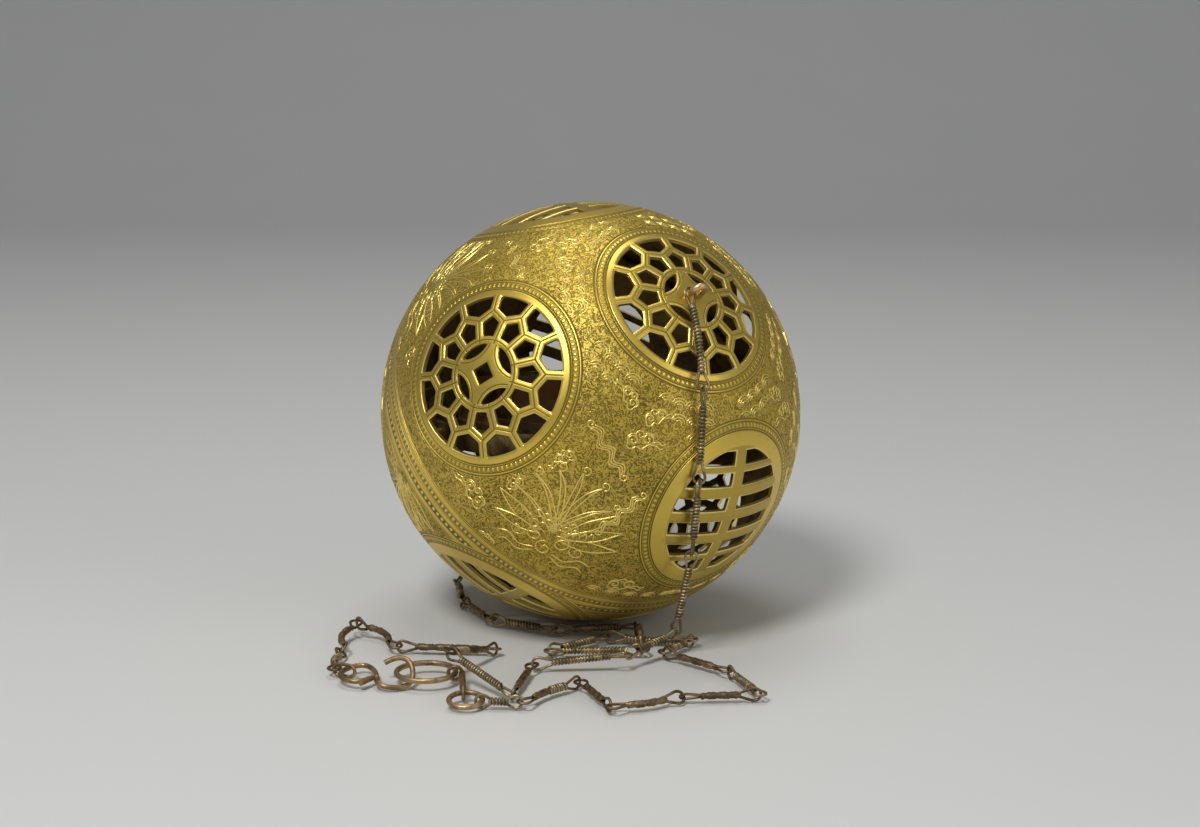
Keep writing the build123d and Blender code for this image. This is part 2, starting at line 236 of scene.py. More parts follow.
def object_coords(t):
    return t.nodes.new("ShaderNodeTexCoord").outputs["Object"]


# ---------------------------------------------------------------- windows: one set of formulas
class A:
    """The same arithmetic on numpy arrays, for cutting the mesh."""

    def __init__(self, a): self.a = a
    def _v(self, o): return o.a if isinstance(o, A) else o
    def __add__(self, o): return A(self.a + self._v(o))
    __radd__ = __add__
    def __sub__(self, o): return A(self.a - self._v(o))
    def __rsub__(self, o): return A(self._v(o) - self.a)
    def __mul__(self, o): return A(self.a * self._v(o))
    __rmul__ = __mul__
    def __truediv__(self, o): return A(self.a / self._v(o))
    def __abs__(self): return A(abs(self.a))
    def min(self, o): return A(np.minimum(self.a, self._v(o)))
    def max(self, o): return A(np.maximum(self.a, self._v(o)))
    def sqrt(self): return A(np.sqrt(np.maximum(self.a, 0)))
    def sin(self): return A(np.sin(self.a))
    def cos(self): return A(np.cos(self.a))
    def atan2(self, o): return A(np.arctan2(self.a, self._v(o)))
    def pingpong(self, o): return A(np.abs((self.a + o) % (2 * o) - o))
    def clamp(self, low, high): return self.max(low).min(high)


def length(x, y):
    return (x * x + y * y).sqrt()


def lattice_lines(x, y, turn):
    """Distance to the bars' middle lines: spokes, zigzag and inner stubs of twelve cells."""
    r, angle = length(x, y), y.atan2(x) - turn
    t = (angle + 2 * pi).pingpong(pi / 12)
    qx, qy = r * t.cos(), r * t.sin()
    spoke = length((ZOUT - qx).max(0.0), qy)
    x2, y2 = ZIN * cos(pi / 12), ZIN * sin(pi / 12)
    run = hypot(x2 - ZOUT, y2)
    ux, uy = (x2 - ZOUT) / run, y2 / run
    dx = qx - ZOUT
    s = (dx * ux + qy * uy).clamp(0.0, run)
    zigzag = length(dx - s * ux, qy - s * uy)
    rest = pi / 12 - t
    stub = length((r * rest.cos() - ZIN).max(0.0), r * rest.sin())
    return spoke.min(zigzag).min(stub)


def coin_metal(x, y, turn, lens_turn, square):
    """Signed distance into the metal of a coin window, positive in metal."""
    r = length(x, y)
    bars = (BAR / 2 - lattice_lines(x, y, turn)).min(r - (RING_R - 0.2))
    t = (y.atan2(x) - (lens_turn - 2 * pi)).pingpong(pi / 4)
    lx, ly = r * t.cos(), r * t.sin()
    lens = (r - (RING_R - BAND / 2)).max(length(lx - LENS_C, ly) - LENS_R)
    disc = (RING_R + BAND / 2 - r).min(lens)
    if square:
        disc = disc.min(lx.max(ly) - SQUARE)
    return (r - WINDOW_R).max(bars).max(disc)


def grille_metal(x, y):
    r = length(x, y)
    c, s = cos(GRILLE_TURN), sin(GRILLE_TURN)
    along, across = abs(x * c + y * s), abs(y * c - x * s)
    row = abs(along - 0.5 * PITCH).min(abs(along - 1.5 * PITCH)).min(abs(along - END_ROW))
    hole = (SLOT / 2 - row).min(across - SPINE / 2).min(GRILLE_R - r)
    return hole * -1.0


def window_axis(polar, azimuth, flip):
    """(axis, poleward, leftward) of a window in the ball's local frame."""
    p, a = radians(polar), radians(azimuth)
    axis = np.array([sin(p) * cos(a), sin(p) * sin(a), cos(p)])
    north = np.array([-cos(p) * cos(a), -cos(p) * sin(a), sin(p)])
    if flip:
        axis, north = axis * (1, -1, -1), north * (1, -1, -1)
    return axis, north, np.cross(axis, north)


def windows(shift, flip):
    made = [(window_axis(0, 180, flip), POLAR)]
    for kind, azimuths in ((COIN, (89.5, 269.5)), (GRILLE, (5.7, 185.7))):
        made += [(window_axis(SIDE_POLAR, a + shift, flip), kind) for a in azimuths]
    return made


def metal(v, wins):
    """Signed distance into the metal at unit vectors v, in mm."""
    d = np.full(len(v), 9.0)
    for (axis, north, west), kind in wins:
        near = v @ axis > cos(radians(24.0))
        x, y = A(R * v[near] @ north), A(R * v[near] @ west)
        if kind == GRILLE:
            d[near] = grille_metal(x, y).a
        elif kind == COIN:
            d[near] = coin_metal(x, y, 0.0, 0.0, True).a
        else:
            d[near] = coin_metal(x, y, radians(21), radians(41), False).a
    return d


# ---------------------------------------------------------------- sphere mesh and cutting
def icosphere(levels):
    g = (1 + sqrt(5)) / 2
    v = np.array([(-1, g, 0), (1, g, 0), (-1, -g, 0), (1, -g, 0), (0, -1, g), (0, 1, g),
                  (0, -1, -g), (0, 1, -g), (g, 0, -1), (g, 0, 1), (-g, 0, -1), (-g, 0, 1)], float)
    f = np.array([(0, 11, 5), (0, 5, 1), (0, 1, 7), (0, 7, 10), (0, 10, 11), (1, 5, 9), (5, 11, 4),
                  (11, 10, 2), (10, 7, 6), (7, 1, 8), (3, 9, 4), (3, 4, 2), (3, 2, 6), (3, 6, 8),
                  (3, 8, 9), (4, 9, 5), (2, 4, 11), (6, 2, 10), (8, 6, 7), (9, 8, 1)])
    v /= np.linalg.norm(v, axis=1, keepdims=True)
    for _ in range(levels):
        e = np.sort(np.concatenate([f[:, [0, 1]], f[:, [1, 2]], f[:, [2, 0]]]), axis=1)
        key, back = np.unique(e[:, 0] * len(v) + e[:, 1], return_inverse=True)
        mid = v[key // len(v)] + v[key % len(v)]
        mid /= np.linalg.norm(mid, axis=1, keepdims=True)
        m = back.reshape(3, -1).T + len(v)
        v = np.concatenate([v, mid])
        f = np.concatenate([
            np.stack([f[:, 0], m[:, 0], m[:, 2]], 1), np.stack([f[:, 1], m[:, 1], m[:, 0]], 1),
            np.stack([f[:, 2], m[:, 2], m[:, 1]], 1), m])
    return v, f


def clip(v, f, field):
    """The part of a mesh on the unit sphere where field is positive, cut at field = 0."""
    d = field(v)
    inside = d > 0
    count = inside[f].sum(1)
    out = [f[count == 3]]
    edges = []
    for k in (1, 2):
        part = f[count == k]
        odd = inside[part] if k == 1 else ~inside[part]
        turn = odd.argmax(1)
        part = np.take_along_axis(part, (turn[:, None] + np.arange(3)) % 3, 1)
        edges.append(part)
    one, two = edges
    pairs = np.concatenate([one[:, [0, 1]], one[:, [0, 2]], two[:, [1, 0]], two[:, [2, 0]]])
    low, high = pairs[:, 0].copy(), pairs[:, 1].copy()  # low is inside
    key, first, back = np.unique(low * len(v) + high, return_index=True, return_inverse=True)
    a, b = v[low[first]], v[high[first]]
    for _ in range(14):
        m = a + b
        m /= np.linalg.norm(m, axis=1, keepdims=True)
        good = (field(m) > 0)[:, None]
        a, b = np.where(good, m, a), np.where(good, b, m)
    new = back + len(v)
    n1, n2 = len(one), len(two)
    p, q, s, t = new[:n1], new[n1:2 * n1], new[2 * n1:2 * n1 + n2], new[2 * n1 + n2:]
    out.append(np.stack([one[:, 0], p, q], 1))
    out.append(np.stack([two[:, 1], two[:, 2], t], 1))
    out.append(np.stack([two[:, 1], t, s], 1))
    v, f = np.concatenate([v, a]), np.concatenate(out)
    used = np.unique(f)
    remap = np.zeros(len(v), int)
    remap[used] = np.arange(len(used))
    f = remap[f]
    sound = (f[:, 0] != f[:, 1]) & (f[:, 1] != f[:, 2]) & (f[:, 2] != f[:, 0])
    return v[used], f[sound]


def boundary(f):
    """Directed edges used by only one face."""
    e = np.concatenate([f[:, [0, 1]], f[:, [1, 2]], f[:, [2, 0]]])
    n = f.max() + 1
    key, back, count = np.unique(np.sort(e, 1) @ [n, 1], return_inverse=True, return_counts=True)
    return e[count[back] == 1]


def to_row(v):
    """Ball-local millimetres to the row frame."""
    return v @ BALL.T + CENTRE


def shell(name, shift, flip, level, material, lining_material):
    """Pierced skin with the walls of its holes, and its lining, as two objects."""
    wins = windows(shift, flip)
    seam = (SEAM - SEAM_GAP) / R if flip else SEAM / R
    side = -1.0 if flip else 1.0

    def field(u):
        return np.minimum(metal(u, wins), side * (u[:, 2] - seam) * R)

    v, f = clip(*icosphere(level), field)
    edge = boundary(f)
    d = metal(v, wins)
    d[np.unique(edge)] = 0.0
    lip = np.clip(1 - np.abs(v[:, 2] - seam) * R / 0.7, 0, 1)
    radius = R - 0.16 * np.clip(1 - d / 0.55, 0, 1) ** 2 - 0.12 * lip**2
    outer = v * radius[:, None]
    ends = np.unique(edge)
    top, low = outer[ends], v[ends] * (R - T)
    index = np.zeros(len(v), int)
    index[ends] = np.arange(len(ends))
    e = index[edge]
    n, m = len(outer), len(ends)
    walls = np.stack([n + e[:, 1], n + e[:, 0], n + m + e[:, 0], n + m + e[:, 1]], 1)
    ob = mesh_object(name, to_row(np.concatenate([outer, top, low])), [f, walls], material)
    attr = ob.data.attributes.new("win", "FLOAT_VECTOR", "CORNER")
    coords = np.zeros((len(f) * 3 + len(walls) * 4, 3), np.float32)
    centre = v[f].mean(1)
    score = np.stack([centre @ w[0][0] for w in wins], 1)
    best = score.argmax(1)
    corner = v[f]
    for k, ((axis, north, west), kind) in enumerate(wins):
        here = best == k
        c = corner[here]
        block = np.stack([R * c @ north, R * c @ west, np.full(c.shape[:2], float(kind))], 2)
        where = np.flatnonzero(np.repeat(here, 3))
        coords[where] = block.reshape(-1, 3)
    coords[len(f) * 3:, 2] = 5.0
    attr.data.foreach_set("vector", coords.ravel())
    lv, lf = clip(*icosphere(level - 1), field)
    lining = mesh_object(name + "_lining", to_row(lv * (R - T)), lf[:, ::-1], lining_material)
    return ob, lining


# ---------------------------------------------------------------- brass of the shells
WARM_GOLD, GREEN_GOLD, PALE_GOLD = (0.88, 0.62, 0.10), (0.80, 0.58, 0.12), (0.90, 0.74, 0.28)
DULL_BRASS, BROWN_BRASS = (0.56, 0.42, 0.08), (0.38, 0.265, 0.045)
SPECK, DIRT = (0.34, 0.26, 0.06), (0.075, 0.056, 0.012)
BORDER_R, BEAD_RING_R, BEADS = 29.5, 27.0, 110  # round each window
SEAM_FRETS, SEAM_DOTS = 240, 200
FRET_AT, DOT_AT = 2.05, 2.85  # distance above and below the seam


def shell_material(name):
    m, t, bsdf = new_material(name)
    coords = object_coords(t)
    attr = t.nodes.new("ShaderNodeAttribute")
    attr.attribute_name = "win"
    split = t.nodes.new("ShaderNodeSeparateXYZ")
    t.links.new(attr.outputs["Vector"], split.inputs[0])
    x, y, kind = (X(t, o) for o in split.outputs)

    def along(direction):
        n = t.nodes.new("ShaderNodeVectorMath")
        n.operation = "DOT_PRODUCT"
        t.links.new(coords, n.inputs[0])
        n.inputs[1].default_value = direction
        return X(t, n.outputs["Value"]) * 1000.0 - float(np.dot(direction, CENTRE))

    px, py, pz = along(UPHILL), along(LEVEL), along(POLE)
    r = length(x, y)
    is_grille = abs(kind - GRILLE).ramp(0.6, 0.4)
    is_polar = abs(kind - POLAR).ramp(0.6, 0.4)
    is_wall = kind.ramp(4.0, 4.5)
    near = r.ramp(BORDER_R + 0.1, BORDER_R - 0.1) * (1.0 - is_wall)

    # rings round every window: plain rim, two scored lines, a beaded ring, two scored lines
    angle = y.atan2(x)
    bead_u = angle.pingpong(pi / BEADS) * BEAD_RING_R
    bead_v = r - BEAD_RING_R
    bead = length(bead_u, bead_v * 0.8).ramp(0.6, 0.25)
    scored = r.line(25.7, 0.28).max(r.line(26.2, 0.2)).max(r.line(27.9, 0.2)).max(r.line(28.6, 0.3))
    scored = scored * near
    bead = bead * near
    rim = r.ramp(25.6, 25.3) * near
    band = (r.ramp(28.9, 28.6) * near)

    # lattice: a scored line down the middle of each bar, rounded edges
    turn = is_polar * radians(21)
    bars = lattice_lines(x, y, turn)
    ring_line = abs(r - RING_R)
    middle = bars.min(ring_line)
    in_lattice = r.ramp(23.9, 23.6) * (1.0 - is_grille) * near
    in_disc = r.ramp(RING_R - BAND / 2 + 0.1, RING_R - BAND / 2)
    lattice = in_lattice * (1.0 - in_disc)
    groove = middle.ramp(0.30, 0.06) * lattice
    shoulder = middle.ramp(0.85, 1.2) * lattice
    fold = (angle - is_polar * radians(41)).pingpong(pi / 4)
    lens_edge = length(r * fold.cos() - LENS_C, r * fold.sin()) - LENS_R
    petal = abs(lens_edge - 0.95).ramp(0.28, 0.06) * in_disc * (1.0 - is_grille) * near
    petal = petal * (1.0 - is_polar * r.ramp(5.2, 4.8))
    groove = groove.max(petal)
    shoulder = shoulder.max(lens_edge.ramp(0.35, 0.05) * in_disc * (1.0 - is_grille) * near * 0.8)
    grille_zone = r.ramp(21.6, 21.0) * is_grille * near
    slot_edge = grille_metal(x, y).ramp(0.6, 0.15) * is_grille * near

    # seam bands, by distance from the seam along the ball
    arc = (pz / R).clamp(-0.9999, 0.9999).acos() * R - float(np.arccos(SEAM / R) * R)
    around = py.atan2(px)
    fret = around.pingpong(pi / SEAM_FRETS) * R
    above = arc * -1.0
    up_lines = above.line(0.9, 0.22).max(above.line(3.2, 0.22)).max(above.line(5.3, 0.25))
    up_lines = up_lines.max(above.line(6.0, 0.25))
    fret_mark = fret.ramp(0.55, 0.35) * abs(above - FRET_AT).ramp(0.75, 0.5) * (1.0 - near)
    lo_lines = arc.line(1.7, 0.22).max(arc.line(4.0, 0.25)).max(arc.line(6.2, 0.25))
    lo_lines = lo_lines.max(arc.line(6.9, 0.25))
    dot = length(around.pingpong(pi / SEAM_DOTS) * R, arc - DOT_AT).ramp(0.78, 0.4) * (1.0 - near)
    seam_zone = above.ramp(6.4, 6.2) * arc.ramp(7.3, 7.1)
    seam_lines = up_lines.max(lo_lines) * (1.0 - near)

    # punched ground: wandering scored strokes over fine stipple
    field = (1.0 - band) * (1.0 - seam_zone) * (1.0 - is_wall)
    wide = texture(t, "Noise", coords, 60, 2, 0.5)
    wander = texture(t, "Noise", coords, 620, 1.5, 0.55, 0.9)
    worm = wander.op("MULTIPLY", 4.6).pingpong(0.5) * 2.0
    strokes = worm.ramp(0.25, 0.62)
    cells = texture(t, "Voronoi", coords, 1900, feature="F1")
    stipple = cells.ramp(0.62, 0.1)
    ground = (strokes * 0.78 + stipple * 0.22) * field

    grain = texture(t, "Noise", coords, 2600, 3, 0.6)
    hammer = texture(t, "Noise", coords, 130, 1.5)
    height = hammer * 0.05 + grain * 0.012
    height = height + ground * 0.15 + rim * 0.10 + bead * 0.22 - scored * 0.13
    height = height - groove * 0.15 - shoulder.max(slot_edge) * 0.12
    height = height - seam_lines * 0.20 + fret_mark * 0.16 + dot * 0.34
    bump(t, bsdf, height, 1.0, MM)

    # colour: gold, olive and brown where dirt stays, pale gold on edges, dots and frets as wear with
    # painted highlight, and painted shade darker towards the bottom of the ball
    low = 1.0 - (ground * 0.9 + (1.0 - field))
    dirt = scored.max(groove * 0.85).max(seam_lines).max(low.clamp() * 0.9)
    dirt = dirt.max((1.0 - dot) * abs(arc - DOT_AT).ramp(1.0, 0.85) * (1.0 - near) * 0.95)
    dirt = dirt.max((1.0 - fret_mark) * abs(above - FRET_AT).ramp(0.95, 0.8) * (1.0 - near) * 0.8)
    dirt = dirt.max((1.0 - bead) * abs(bead_v).ramp(0.8, 0.65) * near * 0.6)
    age = texture(t, "Noise", coords, 22, 5, 0.62)
    patch = age.ramp(0.38, 0.66)
    # painted shade: darker towards the bottom of the ball, standing in for shade and the dark reflection
    # beneath it; added to the random tarnish patches
    painted_underside_shade = (pz * -1.0 - 4.0).ramp(0, 45) * 0.35
    tarnish_and_shade = (patch * 0.55 + painted_underside_shade + wide.ramp(0.45, 0.75) * 0.25).clamp()
    tone = texture(t, "Noise", coords, 34, 3, 0.6).ramp(0.3, 0.7)
    gold = mix(t, tone, WARM_GOLD, GREEN_GOLD)
    worn = mix(t, tarnish_and_shade, gold, DULL_BRASS)
    speck = texture(t, "Noise", coords, 420, 4, 0.7).ramp(0.58, 0.72) * 0.35
    worn = mix(t, speck, worn, SPECK)
    colour = mix(t, (dirt * (0.72 + tarnish_and_shade * 0.25)).clamp(), worn, DIRT)
    colour = mix(t, grille_zone * 0.62, colour, BROWN_BRASS)
    # painted highlight: bar shoulders, hole walls, seam dots, frets and slot edges turn pale gold, partly
    # as polish wear and partly standing in for light caught on their edges
    edge = (shoulder * 0.55).max(is_wall * 0.6)
    rubbed_and_highlight = edge.max(dot * 0.9).max(fret_mark * 0.5).max(slot_edge * 0.8)
    colour = mix(t, rubbed_and_highlight, colour, PALE_GOLD)
    t.links.new(colour, bsdf.inputs["Base Color"])
    bsdf.inputs["Metallic"].default_value = 1.0
    rough = 0.30 + tarnish_and_shade * 0.16 + dirt * 0.25 + field * 0.06 + grain * 0.05
    t.links.new(rough.clamp().o, bsdf.inputs["Roughness"])
    return m


def aged_brass(name, light, dark, rough=0.38, scale=1.0, dirt_level=0.5, relief=0.04):
    """Tarnished brass with streaks, specks and a fine uneven surface."""
    m, t, bsdf = new_material(name)
    coords = object_coords(t)
    big = texture(t, "Noise", coords, 70 * scale, 5, 0.65, 0.4)
    fine = texture(t, "Noise", coords, 900 * scale, 4, 0.7)
    pits = texture(t, "Voronoi", coords, 700 * scale, feature="F1")
    start = 0.62 - 0.3 * dirt_level
    tarnish = (big.ramp(start, start + 0.18) * 0.8 + fine.ramp(0.5, 0.7) * 0.3).clamp()
    base = mix(t, tarnish, light, dark)
    green = texture(t, "Noise", coords, 160 * scale, 3, 0.6).ramp(0.62, 0.75) * 0.25
    base = mix(t, green, base, (dark[0] * 0.7, dark[1] * 0.95, dark[2] * 0.9))
    t.links.new(base, bsdf.inputs["Base Color"])
    bsdf.inputs["Metallic"].default_value = 1.0
    t.links.new((rough + tarnish * 0.25 + fine * 0.08).clamp().o, bsdf.inputs["Roughness"])
    bump(t, bsdf, fine * relief + big * relief * 1.5 - pits.ramp(0.2, 0.05) * relief, 1.0, MM)
    return m


brass = shell_material("shell_brass")
lining = aged_brass("shell_lining", (0.30, 0.22, 0.10), (0.08, 0.06, 0.03), 0.5)
raised = aged_brass("raised_line_brass", (0.93, 0.72, 0.20), (0.66, 0.50, 0.12), 0.30, 2.0, 0.35, 0.01)
eye_brass = aged_brass("eye_brass", (0.72, 0.50, 0.26), (0.28, 0.18, 0.10), 0.30)
gimbal_brass = aged_brass("gimbal_brass", (0.42, 0.31, 0.13), (0.12, 0.09, 0.04), 0.42)
bowl_brass = aged_brass("bowl_brass", (0.36, 0.22, 0.11), (0.10, 0.06, 0.03), 0.45)
wire_pale = aged_brass("wire_pale", (0.44, 0.35, 0.20), (0.13, 0.095, 0.05), 0.36, 3.0, 0.75, 0.02)
wire_brown = aged_brass("wire_brown", (0.27, 0.185, 0.10), (0.10, 0.066, 0.036), 0.42, 3.0, 0.65, 0.05)
ring_brown = aged_brass("ring_brown", (0.46, 0.32, 0.17), (0.15, 0.10, 0.05), 0.36, 2.0, 0.65, 0.03)

level = 7
for name, shift, flip, body in (("upper", 0, False, "upper_half"), ("lower", 36, True, "lower_half")):
    skin, inside = shell(name + "_skin", shift, flip, level, brass, lining)
    for piece, slot_name in ((skin, "shell_brass"), (inside, "inner_brass")):
        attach(piece, body)
    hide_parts(name + "_shell")


# ---------------------------------------------------------------- chains
WIRE, WRAP, LOOP_R, LOOP_LENGTH, SHORT_LOOP, LOOP_SHARE = 0.85, 2.4, 1.8, 5.5, 3.9, 0.3
GAP, EYE_GAP, STRAND_OFFSET, STRAND_SINK = 1.05, 1.75, 0.5, 0.6
JOINT_ROLL, BEND_LIMIT, FLOOR_GAP = 40.0, 25.0, 0.05
EYE_GRIP, EYE_HALF_SPAN = 66.9, 2.2
UPPER_CHAIN = [
    (32.1, -58.2, 82.1), (30.8, -59.3, 55.4), (29.3, -53.5, 33.0), (25.0, -44.5, 6.6),
    (10.0, -60.5, 5.2), (-16.8, -60.5, 2.0), (-21.7, -87.5, 2.0), (-40.5, -69.0, 9.0),
    (-27.7, -45.5, 2.0), (-57.5, -43.0, 2.0), (-71.5, -24.0, 4.2), (-73.5, -47.5, 2.0),
    (-73.5, -65.6, 2.0),
]
LOWER_CHAIN = [
    (-29.7, -93.2, 2.2), (-18.6, -94.0, 2.0), (-3.0, -76.0, 2.0), (5.6, -98.0, 2.0),
    (25.7, -88.6, 2.0), (47.0, -87.5, 2.0), (39.3, -66.5, 2.0), (21.4, -49.0, 2.0),
    (31.0, -36.5, 2.0), (4.5, -33.2, 2.0), (-12.5, -47.5, 2.0), (15.5, -47.0, 2.0),
    (13.5, -26.5, 3.4), (-11.5, -26.0, 2.0), (-31.0, -15.0, 2.0), (-41.0, 6.0, 2.0),
    (-44.0, 29.0, 2.0),
]
UPPER_BOWS = {0: (0.5, -0.9, 0.6), 10: (1.6, 2.6, 0), 11: (-2.6, 0.6, 0), 12: (-1.0, 0, 0)}
LOWER_BOWS = {1: (-0.8, 0.8, 0), 3: (0.6, -1.2, 0), 8: (0, 0, -0.9), 11: (0, 0, 3.8)}
# w: wound with wire all along. s: a plain bound stem. e: a stem with a few turns near its end.
UPPER_LOOKS = "wwwwwwswessse"
LOWER_LOOKS = "wessswswwwwsewsww"


def unit(v):
    return v / np.linalg.norm(v)


def joint_normal(before, point, after, lean):
    """The line about which two links turn where they meet, as in the CAD."""
    arriving, leaving = unit(point - before), unit(after - point)
    if degrees(acos(np.clip(arriving.dot(leaving), -1, 1))) > BEND_LIMIT:
        across = unit(np.cross(arriving, leaving))
        return across if across[2] > 0 else -across
    along = unit(arriving + leaving)
    from_ball = point - CENTRE
    on_ball = np.linalg.norm(from_ball) < R + 5 and point[2] > R / 4
    up = unit(from_ball) if on_ball else np.array([0, 0, 1.0])
    up = unit(up - along * up.dot(along))
    return up * cos(radians(lean)) + np.cross(up, along) * sin(radians(lean))


def teardrop(centre, outward, side, reach, radius):
    """Points of a loop of wire, from one strand round to the other."""
    turn = atan2(STRAND_OFFSET, reach) + acos(radius / hypot(reach, STRAND_OFFSET))
    angles = np.linspace(turn, 2 * pi - turn, 26)
    pts = [(reach, STRAND_OFFSET)]
    high = (radius * cos(turn), radius * sin(turn))
    rise = (high[0] - reach, high[1] - STRAND_OFFSET)
    pts += [(reach + rise[0] * k, STRAND_OFFSET + rise[1] * k) for k in (0.33, 0.66)]
    pts += [(radius * cos(a), radius * sin(a)) for a in angles]
    pts += [(a, -b) for a, b in pts[2::-1]]
    return np.array([centre - outward * a + side * b for a, b in pts])


def stem_line(first, last, bow, n):
    """Middle line of a link's body, bent like the CAD's."""
    k = np.linspace(0, 1, n)[:, None]
    line = first + (last - first) * k
    if bow:
        line = line + np.array(bow) * 0.86 * (1 - (2 * k - 1) ** 2) ** 0.8
    return line


def helix(soup, line, core, wire, turns, wobble, seed):
    """Wire wound round a line; only its outer side is made."""
    rng = np.random.default_rng(seed)
    n = int(turns * 13)
    s = np.linspace(0, len(line) - 1, n)
    i = np.minimum(s.astype(int), len(line) - 2)
    mid = line[i] + (line[i + 1] - line[i]) * (s - i)[:, None]
    tan = np.gradient(mid, axis=0)
    tan /= np.linalg.norm(tan, axis=1, keepdims=True)
    a = np.cross(tan, (0.3, 0.5, 0.81))
    a /= np.linalg.norm(a, axis=1, keepdims=True)
    b = np.cross(tan, a)
    phase = np.linspace(0, 2 * pi * turns, n)
    slow = np.interp(np.linspace(0, 1, n), np.linspace(0, 1, 9), rng.uniform(-1, 1, 9))
    phase = phase + slow * wobble * 5
    rad = core + wobble * 0.16 * np.sin(phase * 0.37 + seed)
    out = a * np.cos(phase)[:, None] + b * np.sin(phase)[:, None]
    c = mid + out * np.asarray(rad)[:, None]
    sides = np.linspace(-2.1, 2.1, 6)
    wave, swing = np.cos(sides)[None, :, None], np.sin(sides)[None, :, None]
    v = c[:, None] + wire / 2 * (out[:, None] * wave + tan[:, None] * swing * 0.98)
    v = v.reshape(-1, 3)
    m = len(sides)
    j = np.arange(n - 1)[:, None] * m + np.arange(m - 1)[None]
    f = np.stack([j, j + 1, j + m + 1, j + m], 2).reshape(-1, 4)
    soup.add(v, f)


def make_link(pale, dark, start, end, n0, n1, gap, bow, look, seed):
    """One link: a wire loop at each end, square to n0 and n1, and a wound or bound stem between."""
    rng = np.random.default_rng(seed)
    span = np.linalg.norm(end - start)
    along = (end - start) / span
    size = max(SHORT_LOOP, min(LOOP_LENGTH, LOOP_SHARE * span))
    first, last = start + along * (size - gap), end - along * size
    flat = unit(np.cross(n0, along))
    upright = unit(n1 - along * n1.dot(along))
    reach = size - LOOP_R + STRAND_SINK
    coat = pale if look == "w" else dark
    loops = ((start + along * (LOOP_R - gap), -along, flat), (end - along * LOOP_R, along, upright))
    for centre, outward, side in loops:
        pts = teardrop(centre, outward, side, reach, LOOP_R)
        coat.tube(pts, WIRE / 2 * rng.uniform(0.93, 1.0), 8)
    line = stem_line(first, last, bow, 25)
    body = np.linalg.norm(last - first)
    if look == "w":
        turns = body / rng.uniform(0.90, 1.12)
        pale.tube(line, 0.66, 8)
        helix(pale, line, WRAP / 2 - WIRE / 2, WIRE * 0.98, turns, rng.uniform(0.03, 0.16), seed)
        return
    k = np.linspace(0, 1, len(line))
    fat = 0.98 + 0.10 * np.sin(k * 21 + seed) + 0.08 * np.sin(k * 47 + 2 * seed)
    fat = fat * np.clip(0.62 + 4 * np.minimum(k, 1 - k), 0, 1)
    dark.tube(line, np.minimum(fat, 1.16), 12)
    helix(dark, line[:-1], 0.86, 0.42, body / 3.4, 0.25, seed + 50)
    if look == "e":
        cut = max(3, int(len(line) * 7.0 / max(body, 8)))
        part = line[-cut:] if seed % 2 else line[:cut]
        helix(pale, part, 0.86, 0.75, np.linalg.norm(part[-1] - part[0]) / 0.95, 0.2, seed)


def make_chain(name, points, bows, looks, end_normals, body, near):
    """Links from point to point, joined into one object. near says which end is on the ball."""
    pts = [np.array(p, float) for p in points]
    inner = [joint_normal(pts[k - 1], pts[k], pts[k + 1], JOINT_ROLL * (-1) ** k)
             for k in range(1, len(pts) - 1)]
    normals = [end_normals[0], *inner, end_normals[1]]
    raised_pts = []
    for p, n in zip(pts, normals):
        tall = max(abs(n[2]), sqrt(max(0, 1 - min(1, n[2] ** 2))))
        raised_pts.append(np.array([p[0], p[1], max(p[2], LOOP_R * tall + WIRE / 2 + FLOOR_GAP)]))
    pale, dark = Soup(), Soup()
    for k in range(len(raised_pts) - 1):
        gap = EYE_GAP if k == 0 else GAP
        make_link(pale, dark, raised_pts[k], raised_pts[k + 1], normals[k], normals[k + 1], gap,
                  bows.get(k), looks[k], k * 7 + len(pts))
    ob = pale.build(name + "_chain", wire_pale)
    stems = dark.build(name + "_chain_stems", wire_brown)
    bpy.ops.object.select_all(action="DESELECT")
    ob.select_set(True)
    stems.select_set(True)
    bpy.context.view_layer.objects.active = ob
    bpy.ops.object.join()
    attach(ob, body)
    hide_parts(*[f"{name}_link_{k + 1:02d}" for k in range(len(pts) - 1)])
    path = []
    for k, p in enumerate(raised_pts):
        path.append(p * MM)
        if bows.get(k):
            a, b = p + (raised_pts[k + 1] - p) * 0.2, p + (raised_pts[k + 1] - p) * 0.8
            path += [q * MM for q in stem_line(a, b, bows[k], 7)]
    if near == "last":
        path = path[::-1]
    run = sum(float(np.linalg.norm(b - a)) for a, b in zip(path, path[1:]))
    return ob


def eye_leg(sign, side):
    return CENTRE + POLE * (sign * EYE_GRIP) + LEVEL * (side * EYE_HALF_SPAN)


upper_points = [eye_leg(1, -1), *UPPER_CHAIN]
make_chain("upper", upper_points, UPPER_BOWS, UPPER_LOOKS, (POLE, np.array([1.0, 0, 0])), "upper_half",
           "first")
leg = eye_leg(-1, 1)
tip = leg + unit(leg - np.array(LOWER_CHAIN[-1])) * EYE_GAP
lower_normals = (np.array([0.33, 0.94, 0]), LEVEL)
make_chain("lower", [*LOWER_CHAIN, tip], LOWER_BOWS, LOWER_LOOKS, lower_normals, "lower_half",
           "last")


# ---------------------------------------------------------------- raised outlines on the shells
def spiral(cx, cy, radius, start, turns, n=26):
    """Curl that winds inwards from its start."""
    k = np.linspace(0, 1, n)
    a = start + 2 * pi * turns * k
    rr = radius * (1 - 0.80 * k)
    return np.stack([cx + rr * np.cos(a), cy + rr * np.sin(a)], 1)


